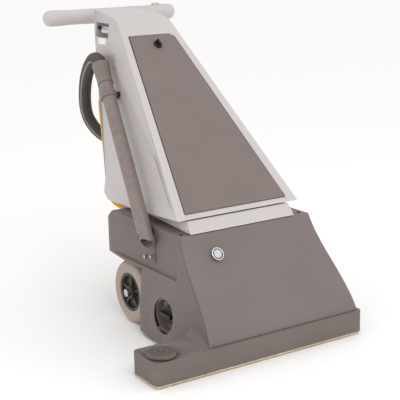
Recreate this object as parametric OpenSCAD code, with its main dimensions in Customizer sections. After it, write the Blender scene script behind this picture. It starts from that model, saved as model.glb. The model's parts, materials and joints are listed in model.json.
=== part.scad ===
// Wide-area upright carpet cleaner with an on-board wand.
// Front is -Y, up is +Z, millimetres. The origin is on the floor, under the middle of the machine.
// Stations called "run" are distances behind the nozzle's front edge; row() turns them into Y.

/* [Overall] */
// Length from the nozzle's front edge to the back of the handle
machine_length = 1062; // [1060:1:1064]
// Width of the nozzle over its bumper
nozzle_w = 780; // [776:1:790]
// Depth of the nozzle over its bumper
nozzle_d = 140; // [140:1:142]
// Wall thickness of the moulded shells
wall = 4; // [3:0.5:4.5]

/* [Wheels] */
// Diameter of the rear wheels
wheel_d = 216; // [208:1:218]
// Width of the rear tyres
tyre_w = 38; // [34:1:40]
// Distance of the wheel axle behind the nozzle's front edge
wheel_run = 538; // [534:1:542]

/* [Brush] */
// Diameter over the bristles
brush_d = 66; // [60:1:66]
// Height of the brush axis above the floor
brush_z = 41; // [41:1:42]

/* [Handle] */
// Length of the handle bar
handle_w = 538; // [500:1:560]
// Diameter of the handle bar
handle_d = 58; // [54:1:60]

/* [Door] */
// Thickness of the front door
door_t = 16; // [14:1:16]

/* [Hose and cord] */
// Outside diameter of the suction hose
hose_d = 46; // [42:1:46]
// Outside diameter of the wand tube
wand_d = 48; // [44:1:48]
// Diameter of the power cord
cord_d = 9; // [8:0.5:10]

/* [Hidden] */
$fn = 48;
gap = 0.5;
eps = 0.01;

function row(run) = run - machine_length / 2;

// base body: side walls lean in towards the top
base_top = 372;
base_low = 12;
base_back = 672;
arch_run = 500;
arch_z = 222;
toe_run = 12;
toe_z = 81;
cover_top_run = 206;
deck_z = 88;
base_left = [-205, -168];
taper_run = 350;
panel_x = -172;
well_run = 426;
well_in = [-118, 302];
base_right = [390, 330];
cover_steps = 18;
cover_depth = 9;

// upper body: a wedge about its own centre line
upper_x = 70;
door_foot = [252, 437];
door_head = [748, 936];
door_foot_w = 385;
door_head_w = 172;
front_lean = atan2(door_head[1] - door_foot[1], door_head[0] - door_foot[0]);
door_len = norm(door_head - door_foot);
rear_low = [820, 440];
rear_high = [1000, 953];
rear_lean = atan2(rear_high[0] - rear_low[0], rear_high[1] - rear_low[1]);
front_skin = 25;
shelf = 14;

wheel_r = wheel_d / 2;
// inner faces of the chassis rails, left and right of the middle
rail_left = 110;
rail_right = 294;
rail_t = 4;
left_wheel_x = -151;
right_wheel_x = 335;
axle_r = 8;
brush_run = 70;
vac_run = 416;
motor_run = 235;
motor_z = 80;
belt_x = 352;
pulley_r = 20;
belt_t = 3;
support_run = 164;
support_r = 22;
support_x = [-60, 250];
corner_x = -342;
corner_run = 48;
corner_r = 46;
dial_run = 280;
dial_z = 103;
dial_r = 57;
handle_r = handle_d / 2;
handle_run = machine_length - handle_r;
handle_z = 993;
door_pin_r = 3;
knuckle_r = door_t / 2;
knuckle_gap = 2.4;

// wand: from its foot in the side pocket to its head beside the upper body
wand_foot = [-202, 347.4, 325.2];
wand_head = [-92, 806, 806];
wand_axis = wand_head - wand_foot;
wand_len = norm(wand_axis);
wand_tilt = acos(wand_axis[2] / wand_len);
wand_turn = atan2(wand_axis[1], wand_axis[0]);
wand_r = wand_d / 2;
cuff_at = 634;
cuff_len = 85;
clip_at = 574;
bracket_at = 30;

// cord store on the back wall: circles round the two hooks, as [x, height, outer radius]
hank_top = [20, 690, 58];
hank_low = [-2, 398, 78];
hank_band = 36;
hank_off = 10;
hank_t = 42;
hook_r = 20;
hank_drop = (hank_top[1] - hank_low[1]) / cos(rear_lean);
port_x = 120;
port_z = 540;
relief_x = 150;
relief_z = 655;

// routes of the hose and of the cord: x, run, height
hose_route = [[-83.9, 841, 842.6], [-83.3, 854, 853], [-82.5, 872, 857], [-81, 894, 853],
  [-78, 917, 841], [-75, 942, 822], [-71, 967, 797], [-68, 987, 768], [-65, 1002, 735],
  [-63, 1010, 700], [-60, 1012, 665], [-55, 1006, 632], [-46, 990, 604], [-32, 974, 580],
  [-12, 962, 562], [14, 954, 550], [42, 950, 543], [70, 944, 540], [94, 931, 539],
  [111, 911, 540], [120, 886, 545]];
lead_route = [[150, 933, 642], [150, 950, 635], [148, 962, 622], [140, 964, 608],
  [127, 955, 597], [112, 940, 589], [98, 924, 583], [86, 908, 576], [78, 895, 565],
  [74.5, 884, 550]];

// ---------- helpers ----------

// profile (run, height) swept across from x0 to x1
module side_slab(points, x0, x1)
  translate([x0, row(0), 0]) rotate([90, 0, 90]) linear_extrude(x1 - x0) polygon(points);

// outline (x, height) swept back from run r0 to r1
module front_slab(points, r0, r1)
  translate([0, row(r1), 0]) rotate([90, 0, 0]) linear_extrude(r1 - r0) polygon(points);

// box from its low and high corners, given as x, run, height
module block(low, high)
  translate([low[0], row(low[1]), low[2]]) cube(high - low);

// cylinder across the machine, from x0 to x1
module bar(run, z, r, x0, x1)
  translate([x0, row(run), z]) rotate([0, 90, 0]) cylinder(h = x1 - x0, r = r);

// hollow or solid turned shape about an axis across the machine
module turned(x, run, z, points)
  translate([x, row(run), z]) rotate([0, 90, 0]) rotate_extrude() polygon(points);

// local frame on the sloping front: x across, y up the slope, z out
module on_front()
  translate([upper_x, row(door_foot[0]), door_foot[1]]) rotate([front_lean, 0, 0]) children();

// local frame on the leaning back wall: y down the wall, z out
module on_rear(x, z)
  translate([x, row(rear_low[0] + (z - rear_low[1]) * tan(rear_lean)), z])
    rotate([-90 - rear_lean, 0, 0]) children();

// local frame along the wand: z towards its head
module on_wand(at)
  translate([wand_foot[0], row(wand_foot[1]), wand_foot[2]])
    rotate([0, wand_tilt, wand_turn]) translate([0, 0, at]) children();

// half width of the upper body at a run and a height
function upper_half(run, z) = 311.5 - 0.1271 * z - 0.1024 * run;

// prism with slanted sides: profile points are (run, height)
module wedge(points, inset) {
  n = len(points);
  left = [for (p = points) [upper_x - upper_half(p[0], p[1]) + inset, row(p[0]), p[1]]];
  right = [for (p = points) [upper_x + upper_half(p[0], p[1]) - inset, row(p[0]), p[1]]];
  polyhedron(concat(left, right), concat(
    [[for (i = [0:n - 1]) i]], [[for (i = [n - 1:-1:0]) n + i]],
    [for (i = [0:n - 1]) [(i + 1) % n, i, n + i, n + (i + 1) % n]]));
}

// round tube swept along a route; the guide is a direction that no route ever points in
ring_guide = [1, 0.3, 0.6];
function unit(v) = v / norm(v);
function heading(route, i) =
  unit(route[min(i + 1, len(route) - 1)] - route[max(i - 1, 0)]);
function ring(centre, along, r, sides) =
  let (side = unit(cross(along, ring_guide)),
       up = cross(side, along))
  [for (k = [0:sides - 1]) centre + r * (cos(360 * k / sides) * side + sin(360 * k / sides) * up)];
module swept_tube(route, r, sides) {
  path = [for (p = route) [p[0], row(p[1]), p[2]]];
  n = len(path);
  rings = [for (i = [0:n - 1]) each ring(path[i], heading(path, i), r, sides)];
  polyhedron(rings, concat(
    [[for (k = [0:sides - 1]) k]], [[for (k = [sides - 1:-1:0]) (n - 1) * sides + k]],
    [for (i = [0:n - 2], k = [0:sides - 1]) each
      [[i * sides + k, (i + 1) * sides + k, (i + 1) * sides + (k + 1) % sides],
       [i * sides + k, (i + 1) * sides + (k + 1) % sides, i * sides + (k + 1) % sides]]]));
}

// two arcs joined by their common tangents, round circles given as [x, y, r]
belt_steps = 16;
function arc(c, from, to) = [for (i = [0:belt_steps]) let (t = from + (to - from) * i / belt_steps)
  [c[0] + c[2] * cos(t), c[1] + c[2] * sin(t)]];
module belt_outline(a, b) {
  along = atan2(b[1] - a[1], b[0] - a[0]);
  lean = acos((a[2] - b[2]) / norm([b[0] - a[0], b[1] - a[1]]));
  polygon(concat(arc(a, along + lean, along + 360 - lean), arc(b, along - lean, along + lean)));
}

// the air duct's way up from the fan into the bag space, from height z0 to the bag's mouth
duct_x = 70;
duct_r = 42;
duct_bore = 38;
module duct_way(z0)
  translate([duct_x, row(vac_run), z0]) cylinder(h = 460 - z0, r = duct_r + 0.2);

// ---------- base ----------

function cover_run(t) = toe_run + (cover_top_run - toe_run) * (t + (1 - cos(180 * t)) / 2) / 2;
function cover_curve(inset) = [for (i = [0:cover_steps]) let (t = i / cover_steps)
  [cover_run(t) + inset * 1.3, toe_z + (base_top - toe_z) * t - (i == cover_steps ? inset : 0)]];
function base_profile(inset) = concat(cover_curve(inset), [
  [640, base_top - inset], [base_back - inset, 345], [base_back - inset, arch_z + inset],
  [arch_run - inset, arch_z + inset], [arch_run - inset, base_low], [nozzle_d + gap, base_low],
  [nozzle_d + gap, deck_z + 2], [78, deck_z + 2]]);
function base_front(inset) = [[base_left[0] + inset, 0], [base_left[1] + inset, base_top + 1],
  [base_right[1] - inset, base_top + 1], [base_right[0] - inset, 0]];

// seen from above, the left wall draws in behind the dial, to the width of the top
module base_plan(inset)
  linear_extrude(base_top + 1)
    polygon([[-230, row(0)], [-230, row(taper_run)], [base_left[0] + inset, row(taper_run)],
      [base_left[1] + inset, row(base_back)], [base_left[1] + inset, row(700)], [400, row(700)],
      [400, row(0)]]);

module base_body(inset)
  intersection() {
    side_slab(base_profile(inset), -220, 400);
    front_slab(base_front(inset), 0, 700);
    base_plan(inset);
  }

// hollows of the side walls, and of the same shapes grown by the wall: a shallow panel with
// a groove for the wand on the left, and a well for each wheel
module side_hollows(grow) {
  block([-230, 214 - grow, 232 - grow], [panel_x + grow, 690, 352 + grow]);
  on_wand(-60) cylinder(h = 260, r = wand_r + 3 + grow);
  block([-230, well_run - grow, -1], [well_in[0] + grow, 700, arch_z + grow]);
  block([well_in[1] - grow, well_run - grow, -1], [430, 700, arch_z + grow]);
}

module base_shell()
  difference() {
    base_body(0);
    difference() {
      union() {
        base_body(wall);
        block([-185, nozzle_d + wall + gap, -1], [370, arch_run - wall, 60]);
      }
      side_hollows(wall);
    }
    side_hollows(0);
    // dial cup opening, duct hole and the open back between the wheels
    bar(dial_run, dial_z, dial_r + gap, -230, -150);
    duct_way(base_top - 20);
    block([-rail_left - 5, arch_run - 20, -1], [rail_right + 5, arch_run + 20, 180]);
    block([337, 100, -1], [368, 140, deck_z + 6]);
  }

// the part of the shell that lifts off as the front cover
module cover_zone(grow)
  side_slab(concat([[0, 60], [toe_run + cover_depth + grow, 60]],
    [for (p = cover_curve(0)) p + [cover_depth + grow, 0]],
    [[cover_top_run + cover_depth + grow, base_top + 5], [0, base_top + 5]]), -230, 420);

module base_housing() color([0.49, 0.45, 0.44])
  difference() {
    base_shell();
    cover_zone(gap);
  }

module front_cover() color([0.52, 0.47, 0.46])
  intersection() {
    base_shell();
    cover_zone(0);
  }

module cover_badge() color([0.80, 0.80, 0.82])
  translate([-60, row(165), 312]) rotate([58, 0, 0]) cylinder(h = 2, r = 21);

module cover_screws() color([0.30, 0.28, 0.28])
  for (x = [-150, 310])
    translate([x, row(232), base_top]) cylinder(h = 3, r = 6);

module chassis_frame() color([0.35, 0.35, 0.37]) {
  difference() {
    union() {
      block([-rail_left, 190, 24], [rail_right, 600, 28]);
      block([-rail_left - rail_t, nozzle_d, 14], [-rail_left, 600, 150]);
      block([rail_right, nozzle_d, 14], [rail_right + rail_t, 600, 150]);
    }
    bar(wheel_run, wheel_r, axle_r, -200, 400);
    bar(motor_run, motor_z, 9, 290, 305);
    block([-120, 570, 40], [310, 601, 60]);
  }
}

// ---------- nozzle ----------

nozzle_half = nozzle_w / 2;
band_t = 12;
function nozzle_profile(i) = [[12 + i, 12 - i], [12 + i, 79 - i], [76, deck_z - i],
  [nozzle_d - 20 - i, deck_z - i], [nozzle_d - 12 - i, 80 - i], [nozzle_d - 12 - i, 12 - i]];

module corner_well(r, z0)
  translate([corner_x, row(corner_run), z0]) cylinder(h = 20, r = r);

module nozzle_housing() color([0.49, 0.45, 0.44]) {
  inner_half = nozzle_half - band_t;
  difference() {
    side_slab(nozzle_profile(0), -inner_half, inner_half);
    difference() {
      side_slab(nozzle_profile(wall), -inner_half + wall, inner_half - wall);
      corner_well(corner_r + 7, 76);
    }
    corner_well(corner_r + 3, 80);
    block([337, 100, 20], [367, 140, deck_z + 1]);
    // brush shaft ends and the suction outlet
    bar(brush_run, brush_z, 12, -inner_half - 1, -inner_half + 6);
    block([60, nozzle_d - 20, 34], [180, nozzle_d, 76]);
  }
}

module bumper_band() color([0.48, 0.44, 0.42]) {
  r = 18;
  difference() {
    translate([0, row(nozzle_d / 2), 10]) linear_extrude(70) {
      square([nozzle_w - 2 * r, nozzle_d], center = true);
      square([nozzle_w, nozzle_d - 2 * r], center = true);
      for (sx = [-1, 1], sy = [-1, 1])
        translate([sx * (nozzle_half - r), sy * (nozzle_d / 2 - r)]) circle(r);
    }
    block([-nozzle_half + band_t, band_t, 0], [nozzle_half - band_t, nozzle_d - band_t, 90]);
    block([337, 120, 20], [367, 150, 90]);
    block([60, nozzle_d - 20, 34], [180, nozzle_d + 1, 76]);
  }
}

module sole_plate() color([0.80, 0.74, 0.66])
  difference() {
    block([-nozzle_half + 3, 1, 5], [nozzle_half - 18, nozzle_d - 1, 10]);
    block([-368, 34, 0], [336, 106, 20]);
    block([337, 34, 0], [367, 106, 20]);
  }

module brush_bearings() color([0.62, 0.62, 0.64])
  for (x = [-378, 326])
    difference() {
      bar(brush_run, brush_z, x < 0 ? 12 : 16, x, x + 8);
      bar(brush_run, brush_z, 6.05, x - 1, x + 9);
    }

module brush_core() color([0.25, 0.25, 0.27]) {
  bar(brush_run, brush_z, 6, -377, 366);
  bar(brush_run, brush_z, 20, -366, 324);
}

module brush_bristles() color([0.15, 0.14, 0.14])
  for (turn = [0:3]) {
    angle = 45 + 90 * turn;
    translate([-360, row(brush_run), brush_z]) rotate([angle, 0, 0])
      translate([0, -3, 20]) cube([678, 6, brush_d / 2 - 20]);
  }

module grooved_pulley(run, z, hub_r)
  turned(belt_x, run, z, [[hub_r, -11], [pulley_r + 3, -11], [pulley_r + 3, -9], [pulley_r, -9],
    [pulley_r, 9], [pulley_r + 3, 9], [pulley_r + 3, 11], [hub_r, 11]]);

module brush_pulley() color([0.30, 0.30, 0.32])
  grooved_pulley(brush_run, brush_z, 6);

module motor_pulley() color([0.30, 0.30, 0.32]) {
  grooved_pulley(motor_run, motor_z, 6);
  bar(motor_run, motor_z, 6, 286, 364);
}

module drive_belt() color([0.10, 0.10, 0.10]) {
  reach = pulley_r + 0.4;
  translate([belt_x - 7, row(0), 0]) rotate([90, 0, 90]) linear_extrude(14)
    difference() {
      belt_outline([brush_run, brush_z, reach + belt_t], [motor_run, motor_z, reach + belt_t]);
      belt_outline([brush_run, brush_z, reach], [motor_run, motor_z, reach]);
    }
}

module brush_motor() color([0.55, 0.55, 0.58]) {
  difference() {
    union() {
      bar(motor_run, motor_z, 46, 130, 280);
      bar(motor_run, motor_z, 18, 280, 290);
    }
    bar(motor_run, motor_z, 6.05, 270, 300);
  }
  block([150, motor_run - 40, 28], [260, motor_run + 40, 40]);
}

module roller_brackets() color([0.45, 0.45, 0.47])
  for (x = support_x) {
    for (side = [-17, 14])
      difference() {
        block([x + side, 142, 16], [x + side + 3, 190, 52]);
        bar(support_run, support_r, 4, x - 20, x + 20);
      }
    block([x - 14, support_run + support_r - 1, support_r + 12], [x + 14, 190, 52]);
    bar(support_run, support_r, 4, x - 19, x + 19);
  }

module support_roller(x)
  turned(x, support_run, support_r, [[4.05, -12], [support_r - 3, -12], [support_r, -9],
    [support_r, 9], [support_r - 3, 12], [4.05, 12]]);
module left_support_roller() color([0.75, 0.72, 0.70]) support_roller(support_x[0]);
module right_support_roller() color([0.75, 0.72, 0.70]) support_roller(support_x[1]);

module corner_roller() color([0.40, 0.36, 0.35])
  translate([corner_x, row(corner_run), 82.5]) rotate_extrude()
    polygon([[6.1, 0], [corner_r - 4, 0], [corner_r, 4], [corner_r, 11], [corner_r - 3, 14],
      [34, 14], [32, 11], [24, 11], [22, 15], [12, 15], [10, 12], [6.1, 12]]);

module roller_bolt() color([0.20, 0.19, 0.19]) {
  translate([corner_x, row(corner_run), 80]) cylinder(h = 15, r = 6);
  translate([corner_x, row(corner_run), 95]) cylinder(h = 4, r = 9);
}

// ---------- wheels ----------

module tyre(x) {
  h = tyre_w / 2;
  turned(x, wheel_run, wheel_r, [[66, -h + 3], [70, -h], [wheel_r - 12, -h],
    [wheel_r - 4, -h + 5], [wheel_r, -h + 13], [wheel_r, h - 13], [wheel_r - 4, h - 5],
    [wheel_r - 12, h], [70, h], [66, h - 3]]);
}

module hub(x)
  difference() {
    union() {
      turned(x, wheel_run, wheel_r, [[56, -15], [66, -15], [66, 15], [56, 15]]);
      turned(x, wheel_run, wheel_r, [[axle_r + 0.05, -20], [22, -20], [22, 20], [axle_r + 0.05, 20]]);
      turned(x, wheel_run, wheel_r, [[20, -4], [58, -4], [58, 4], [20, 4]]);
      for (k = [0:4])
        translate([x, row(wheel_run), wheel_r]) rotate([72 * k, 0, 0])
          translate([-12, -5, 20]) cube([24, 10, 38]);
    }
    bar(wheel_run, wheel_r, axle_r + 0.05, x - 30, x + 30);
  }

module wheel_axle() color([0.70, 0.70, 0.72])
  bar(wheel_run, wheel_r, axle_r, left_wheel_x - 32, right_wheel_x + 32);

module left_tyre() color([0.78, 0.72, 0.68]) tyre(left_wheel_x);
module right_tyre() color([0.78, 0.72, 0.68]) tyre(right_wheel_x);
module left_hub() color([0.24, 0.22, 0.21]) hub(left_wheel_x);
module right_hub() color([0.24, 0.22, 0.21]) hub(right_wheel_x);

module axle_nuts() color([0.82, 0.82, 0.84])
  for (x = [left_wheel_x - 27, right_wheel_x + 27])
    difference() {
      bar(wheel_run, wheel_r, 13, x - 6, x + 6);
      bar(wheel_run, wheel_r, axle_r, x - 7, x + 7);
    }

// ---------- inside the base ----------

module vacuum_motor() color([0.60, 0.60, 0.62])
  translate([duct_x, row(vac_run), 28]) {
    cylinder(h = 70, r = 62);
    translate([0, 0, 70]) cylinder(h = 90, r = 72);
    translate([0, 0, 160]) cylinder(h = 20, r = 40);
  }

module motor_gasket() color([0.12, 0.12, 0.12])
  translate([duct_x, row(vac_run), 208]) difference() {
    cylinder(h = collar_foot - 208, r = 60);
    translate([0, 0, -1]) cylinder(h = 14, r = duct_bore + 2);
  }

module exhaust_filter() color([0.88, 0.87, 0.83])
  difference() {
    block([170, 380, 28], [280, 480, 90]);
    for (i = [0:6])
      block([170 - eps, 388 + i * 13, 34], [280 + eps, 394 + i * 13, 84]);
  }

// ---------- pile height dial ----------

module dial_cup() color([0.45, 0.41, 0.40])
  difference() {
    union() {
      bar(dial_run, dial_z, dial_r, -186, -160);
      bar(dial_run, dial_z, dial_r - 20, -160, -130);
    }
    bar(dial_run, dial_z, dial_r - 5, -210, -164);
    bar(dial_run, dial_z, 8.1, -170, -120);
  }

module height_dial() color([0.10, 0.09, 0.09]) {
  bar(dial_run, dial_z, 8, -164, -134);
  bar(dial_run, dial_z, 30, -176, -164.5);
  block([-190, dial_run - 30, dial_z - 7], [-176, dial_run + 30, dial_z + 7]);
}

// ---------- upper body ----------

upper_profile = [[231, 416], [600, 384], [770, 376], [805, 394], rear_low, rear_high,
  [1000, 1018], [838, 1000], [795, 983.5]];
// a point of the side view, given up the front slope and in from the front face
function front_point(up, depth) = [door_foot[0] + up * cos(front_lean) + depth * sin(front_lean),
  door_foot[1] + up * sin(front_lean) - depth * cos(front_lean)];
upper_cavity = [front_point(2, front_skin), [600, 389], [768, 381], [801, 397], [815, 441],
  [994, 955], [994, 988], [986, 995], [850, 995], front_point(796, front_skin)];

module recess(grow)
  block([-100, 868 - grow, 924 - grow], [16 + grow, 982 + grow, 974 + grow]);

// the door's outline, with its upper right corner cut off
module door_shape(grow)
  polygon([[-door_foot_w / 2 - grow, -grow], [door_foot_w / 2 + grow, -grow],
    [door_head_w / 2 + 1.5 + grow, door_len - 10], [door_head_w / 2 - 12, door_len + grow],
    [-door_head_w / 2 - grow, door_len + grow]]);

module upper_housing() color([0.80, 0.78, 0.78])
  difference() {
    wedge(upper_profile, 0);
    difference() {
      wedge(upper_cavity, wall);
      recess(wall);
    }
    recess(0);
    on_front() {
      translate([0, 0, -door_t - 4]) linear_extrude(60) door_shape(4);
      translate([0, 0, -60]) linear_extrude(60) door_shape(-shelf);
      // the door's round lower edge turns in this trough
      translate([0, 0, -knuckle_r]) rotate([0, 90, 0])
        cylinder(h = door_foot_w + 8, r = knuckle_r + knuckle_gap, center = true);
      translate([-door_foot_w / 2 - 4, -door_t, -3]) cube([door_foot_w + 8, door_t, 20]);
    }
    // duct hole, hose port and hinge pins
    duct_way(360);
    on_rear(port_x, port_z) translate([0, 0, -20]) cylinder(h = 60, r = hose_d / 2);
    on_front() for (s = [-1, 1])
      translate([s * (door_foot_w / 2 + 12), 0, -door_t / 2]) rotate([0, 90, 0])
        cylinder(h = 40, r = door_pin_r, center = true);
  }

module housing_neck() color([0.80, 0.78, 0.78]) {
  outer = [[206, base_top + 3], [209, base_top + 6], [233, 411], [600, 380], [740, base_top + 3]];
  difference() {
    union() {
      intersection() {
        side_slab(outer, -130, 270);
        wedge([[100, 300], [900, 300], [900, 500], [100, 500]], 40);
      }
      // foot rib, set back so that a shadow gap shows under the neck
      block([-90, 218, base_top], [230, 640, base_top + 4]);
    }
    duct_way(360);
  }
}

module door_gasket() color([0.10, 0.10, 0.10])
  on_front() translate([0, 0, -door_t - 4]) linear_extrude(3.6)
    difference() {
      door_shape(0);
      door_shape(-shelf);
    }

module door_hinge_pins() color([0.75, 0.75, 0.77])
  on_front() for (s = [-1, 1])
    translate([s * (door_foot_w / 2 + 2), 0, -door_t / 2]) rotate([0, 90, 0])
      cylinder(h = 28, r = door_pin_r, center = true);

module front_door() color([0.53, 0.48, 0.47])
  on_front() difference() {
    union() {
      translate([0, 0, -door_t]) linear_extrude(door_t) door_shape(0);
      translate([0, 0, -knuckle_r]) rotate([0, 90, 0])
        cylinder(h = door_foot_w, r = knuckle_r, center = true);
    }
    translate([0, 0, -knuckle_r]) rotate([0, 90, 0]) {
      for (s = [-1, 1])
        translate([0, 0, s * door_foot_w / 2])
          cylinder(h = 26, r = door_pin_r + 0.05, center = true);
    }
    // hollow back, and the latch hole near the head
    translate([0, 0, -door_t - eps]) linear_extrude(door_t - wall)
      polygon([[-door_foot_w / 2 + 22, 20], [door_foot_w / 2 - 22, 20],
        [door_head_w / 2 - 18, door_len - 60], [-door_head_w / 2 + 18, door_len - 60]]);
    translate([latch_x, latch_y, -30]) cylinder(h = 40, r = 6.1);
  }

latch_x = 8;
latch_y = door_len - 42;
module door_latch() color([0.08, 0.07, 0.07])
  on_front() translate([latch_x, latch_y, 0]) {
    translate([0, 0, -front_skin - 6]) cylinder(h = front_skin + 8, r = 6);
    translate([0, 0, 0.5]) cylinder(h = 6, r = 16);
    translate([-4, -16, 6]) cube([8, 32, 14]);
    translate([-28, -6, -front_skin - 6]) cube([34, 12, 4]);
  }

// the collar is the duct: it stands on the fan's gasket, passes through the neck and carries the
// bag's mouth
collar_foot = 220;
collar_head = 465;
module bag_collar() color([0.30, 0.30, 0.32])
  translate([duct_x, row(vac_run), 0]) difference() {
    union() {
      translate([0, 0, collar_foot]) cylinder(h = collar_head - collar_foot, r = duct_r);
      for (z = [collar_foot, collar_head - 25])
        translate([0, 0, z]) cylinder(h = 4, r = duct_r + 14);
    }
    translate([0, 0, collar_foot - 1]) cylinder(h = collar_head - collar_foot + 2, r = duct_bore);
  }

module filter_bag() color([0.86, 0.84, 0.78])
  wedge([[400, 465], [600, 465], [790, 520], [880, 880], [860, 900], [790, 900]], 36);

// ---------- handle and controls ----------

module handle_bar() color([0.80, 0.78, 0.78])
  difference() {
    union() {
      bar(handle_run, handle_z, handle_r, upper_x - handle_w / 2 + 20, upper_x + handle_w / 2 - 20);
      for (s = [-1, 1])
        turned(upper_x + s * (handle_w / 2 - 20), handle_run, handle_z,
          [[0, 0], [handle_r, 0], [handle_r - 2, s * 8], [handle_r - 9, s * 16],
            [handle_r - 17, s * 20], [0, s * 20]]);
      block([upper_x - 82, 1000.2, 968], [upper_x + 82, handle_run, 1021]);
    }
    on_panel() translate([-79, -1, -panel_t - 1]) cube([158, 70, 60]);
    block([245, handle_run - 8, 1010], [277, handle_run + 8, 1040]);
  }

// the panel faces up and back, towards the person who walks behind: y runs back, z out of it
panel_run = 1012;
panel_z = 1021;
panel_lean = 24;
panel_t = 11;
panel_d = 44;
switch_y = 23;
module on_panel()
  translate([upper_x, row(panel_run), panel_z]) rotate([-panel_lean, 0, 0]) children();

module control_panel() color([0.08, 0.08, 0.08])
  on_panel() difference() {
    translate([-78, 0, -panel_t]) cube([156, panel_d, panel_t]);
    for (x = [-45, 5])
      translate([x - 12, switch_y - 12, -panel_t + 2]) cube([24, 24, 20]);
    translate([50, switch_y, -panel_t + 2]) cylinder(h = 12, r = 8.3);
  }

module rocker(x)
  on_panel() translate([x, switch_y, -3]) rotate([90, 0, 0]) linear_extrude(22, center = true)
    polygon([[-11, 5], [0, 2.5], [11, 5], [7, -4], [-7, -4]]);
module brush_switch() color([0.55, 0.08, 0.08]) rocker(-45);
module vacuum_switch() color([0.10, 0.10, 0.10]) rocker(5);
module breaker_button() color([0.75, 0.15, 0.12])
  on_panel() translate([50, switch_y, -6]) cylinder(h = 9, r = 8);

module thumb_switch() color([0.66, 0.70, 0.64])
  translate([261, row(handle_run), 1022]) rotate([90, 0, 0]) linear_extrude(14, center = true)
    polygon([[-14, -6], [14, -6], [14.5, 0], [12, 5], [-12, 5], [-14.5, 0]]);

pull_x = -10;
pull_z = 950;
module pull_sleeve() color([0.78, 0.78, 0.80])
  translate([pull_x, row(868), pull_z]) rotate([-90, 0, 0]) difference() {
    cylinder(h = 62, r = 16);
    translate([0, 0, 2]) cylinder(h = 80, r = 8.1);
  }

module pull_knob() color([0.06, 0.06, 0.06])
  translate([pull_x, row(880), pull_z]) rotate([-90, 0, 0]) {
    cylinder(h = 68, r = 8);
    translate([0, 0, 68]) rotate([0, 90, 30]) cylinder(h = 40, r = 7, center = true);
  }

label_run = 884;
label_z = 901;
label_w = 66;
label_h = 20;
module blank_label() color([0.93, 0.93, 0.92])
  intersection() {
    difference() {
      wedge([[860, 890], [980, 890], [980, 930], [860, 930]], -0.8);
      wedge([[850, 880], [990, 880], [990, 940], [850, 940]], 0);
    }
    block([-100, label_run, label_z], [0, label_run + label_w, label_z + label_h]);
  }

// ---------- cord store ----------

module upper_cord_hook() color([0.07, 0.07, 0.07])
  on_rear(hank_top[0], hank_top[1]) {
    translate([0, 0, 0.5]) cylinder(h = 60, r = hook_r);
    translate([-hook_r, -64, hank_off + hank_t + 4]) cube([2 * hook_r, 64 + hook_r, 6]);
  }

module lower_cord_hook() color([0.07, 0.07, 0.07])
  on_rear(hank_low[0], 425) {
    translate([-34, -16, 1]) cube([68, 30, 59]);
    translate([-34, -16, hank_off + hank_t + 2]) cube([68, 66, 8]);
  }

// a closed racetrack round both hooks, in the back wall's own plane
module hank_outline(shrink)
  belt_outline([0, 0, hank_top[2] - shrink],
    [hank_low[0] - hank_top[0], hank_drop, hank_low[2] - shrink]);

module cord_hank() color([0.94, 0.72, 0.25])
  on_rear(hank_top[0], hank_top[1])
    translate([0, 0, hank_off]) linear_extrude(hank_t)
      difference() {
        hank_outline(0);
        hank_outline(hank_band);
      }

module power_cord() color([0.94, 0.72, 0.25])
  swept_tube(lead_route, cord_d / 2, 10);

module cord_relief() color([0.10, 0.10, 0.10])
  on_rear(relief_x, relief_z) {
    cylinder(h = 6, r = 14);
    translate([0, 0, 6]) cylinder(h = 34, r1 = 9, r2 = 6);
  }

module power_plug() color([0.12, 0.12, 0.12])
  on_rear(hank_top[0], hank_top[1])
    translate([hank_low[0] - hank_top[0] + 46, hank_drop + 66, hank_off + hank_t - 8])
      rotate([-90, 0, 0]) {
        cylinder(h = 40, r = 15);
        for (x = [-6.5, 6.5])
          translate([x - 0.8, -3, 39]) cube([1.6, 6, 18]);
      }

// ---------- wand and hose ----------

module wand_tube() color([0.55, 0.51, 0.50])
  on_wand(0) difference() {
    cylinder(h = cuff_at + 30, r = wand_r);
    translate([0, 0, -1]) cylinder(h = cuff_at + 32, r = wand_r - 3);
    translate([0, 0, -eps]) rotate([0, 0, 90]) rotate([0, -40, 0])
      translate([-60, -60, -100]) cube([120, 120, 100]);
  }

module wand_cuff() color([0.50, 0.46, 0.45])
  on_wand(cuff_at) difference() {
    union() {
      cylinder(h = 24, r = wand_r + 3);
      translate([0, 0, 24]) cylinder(h = cuff_len - 24, r1 = wand_r + 3, r2 = wand_r + 6);
    }
    translate([0, 0, -1]) cylinder(h = 31, r = wand_r);
    translate([0, 0, 29]) cylinder(h = cuff_len, r = wand_r - 3);
  }

module wand_clip() color([0.10, 0.09, 0.09])
  difference() {
    on_wand(clip_at) {
      cylinder(h = 22, r = wand_r + 5);
      translate([-12, -45, 4]) cube([24, 25, 14]);
    }
    on_wand(clip_at) {
      translate([0, 0, -1]) cylinder(h = 24, r = wand_r + 0.4);
      translate([-16, 8, -1]) cube([32, 30, 24]);
    }
    wedge(upper_profile, 0);
  }

module wand_bracket() color([0.10, 0.09, 0.09]) {
  difference() {
    union() {
      on_wand(bracket_at) cylinder(h = 14, r = wand_r + 4);
      block([panel_x - 5, 352, 258], [panel_x, 424, 350]);
    }
    on_wand(-60) cylinder(h = 200, r = wand_r + 0.4);
    block([panel_x, 250, 200], [0, 560, 400]);
    block([-260, 300, 351.8], [-100, 560, 400]);
  }
  for (place = [[366, 276], [404, 268]])
    bar(place[0], place[1], 7, panel_x - 10, panel_x - 5);
}

module hose_port() color([0.30, 0.28, 0.27])
  on_rear(port_x, port_z) difference() {
    union() {
      cylinder(h = 28, r = hose_d / 2 + 5);
      translate([0, 0, 0]) cylinder(h = 5, r = hose_d / 2 + 16);
    }
    translate([0, 0, -1]) cylinder(h = 40, r = hose_d / 2 - 3);
  }

module vacuum_hose() color([0.36, 0.33, 0.31])
  swept_tube(hose_route, hose_d / 2, 12);

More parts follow.
